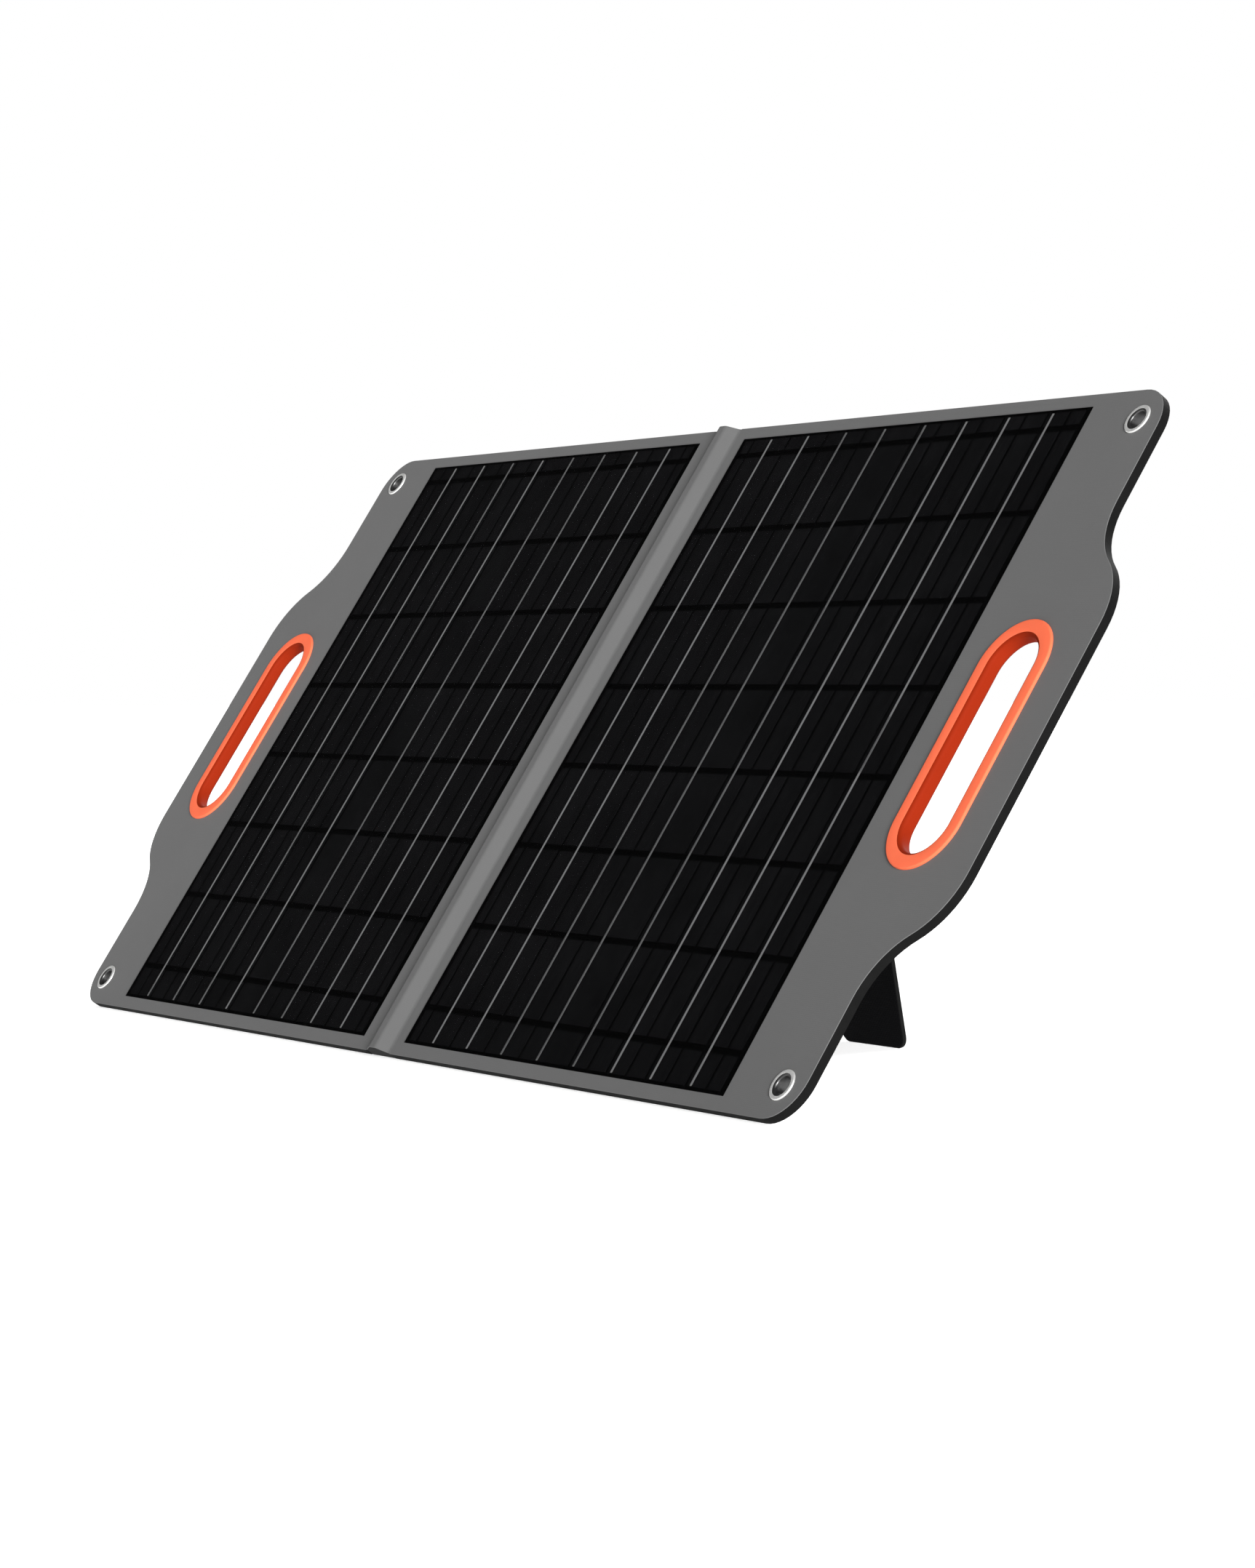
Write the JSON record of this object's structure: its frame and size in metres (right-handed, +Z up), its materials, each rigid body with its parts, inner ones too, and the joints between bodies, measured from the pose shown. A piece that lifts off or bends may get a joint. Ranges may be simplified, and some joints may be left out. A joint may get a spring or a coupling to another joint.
{
  "type": "folding solar panel",
  "caption": "Two-fold portable solar panel with a grey fabric casing, dark cell fields, carrying handles at both ends, corner eyelets and rear kickstands.",
  "frame": {"origin": "on the ground, under the middle of the object's box", "axes": "+X along the open panel, from the controller's half to the other; -Y is the side the cells face; +Z up"},
  "size_m": [1.158, 0.3652, 0.4607],
  "materials": {
    "grey_fabric": "coated woven, matt",
    "black_board": "cut foam board edge, matt",
    "black_fabric": "coated woven, matt",
    "backsheet": "laminated film, satin",
    "cell": "etched silicon under film, satin",
    "ribbon": "tinned copper, satin",
    "film": "clear textured film",
    "orange_moulding": "moulded, satin",
    "plated_eyelet": "nickel plated",
    "magnet": "nickel plated",
    "webbing": "woven webbing",
    "padding": "foam",
    "lead": "matt",
    "black_moulding": "moulded, fine texture",
    "outlet_moulding": "moulded, smooth",
    "black_rubber": "moulded, matt",
    "circuit_board": "solder mask",
    "socket_metal": "plated",
    "screw_steel": "plated",
    "lens": "clear"
  },
  "bodies": {
    "left_half": {"left_front_cover": "grey_fabric", "left_core_board": "black_board", "left_back_cover": "black_fabric", "left_backsheet": "backsheet", "left_cells": "cell", "left_ribbons": "ribbon", "left_front_film": "film", "left_grip_front": "orange_moulding", "left_grip_back": "orange_moulding", "left_eyelets": "plated_eyelet", "left_eyelet_washers": "plated_eyelet", "left_closing_magnets": "magnet", "left_stand_tape": "webbing", "left_stay_strap": "webbing", "left_lead": "lead", "spine_ridge": "grey_fabric", "spine_padding": "padding", "spine_back": "black_fabric", "spine_lead": "lead", "controller_base": "black_moulding", "controller_lid": "black_moulding", "controller_gasket": "black_rubber", "controller_board": "circuit_board", "usb_sockets": "socket_metal", "dc_outlet": "outlet_moulding", "status_lens": "lens", "controller_screws": "screw_steel"},
    "right_half": {"right_front_cover": "grey_fabric", "right_core_board": "black_board", "right_back_cover": "black_fabric", "right_backsheet": "backsheet", "right_cells": "cell", "right_ribbons": "ribbon", "right_front_film": "film", "right_grip_front": "orange_moulding", "right_grip_back": "orange_moulding", "right_eyelets": "plated_eyelet", "right_eyelet_washers": "plated_eyelet", "right_closing_magnets": "magnet", "right_stand_tape": "webbing", "right_stay_strap": "webbing", "right_lead": "lead"},
    "left_stand": {"left_stand_board": "black_board", "left_stand_cover": "black_fabric", "left_stand_lining": "black_fabric", "left_stand_magnet": "magnet"},
    "right_stand": {"right_stand_board": "black_board", "right_stand_cover": "black_fabric", "right_stand_lining": "black_fabric", "right_stand_magnet": "magnet"},
    "port_cover": {"port_cover": "black_rubber"}
  },
  "joints": [
    {"name": "fold", "type": "hinge", "parent": "left_half", "child": "right_half", "pos_m": [0, -0.03026, 0.232], "axis": [0, -0.5498, -0.8353], "range_deg": [0, 180]},
    {"name": "left_stand_hinge", "type": "hinge", "parent": "left_half", "child": "left_stand", "pos_m": [-0.108, 0.10477, 0.41279], "axis": [1, 0, 0], "range_deg": [-43.8, 0], "deforming": ["left_stay_strap"]},
    {"name": "right_stand_hinge", "type": "hinge", "parent": "right_half", "child": "right_stand", "pos_m": [0.108, 0.10477, 0.41279], "axis": [1, 0, 0], "range_deg": [-43.8, 0], "deforming": ["right_stay_strap"]},
    {"name": "port_cover_hinge", "type": "hinge", "parent": "left_half", "child": "port_cover", "pos_m": [-0.307, -0.092, 0.08343], "axis": [1, 0, 0], "range_deg": [0, 110]}
  ]
}
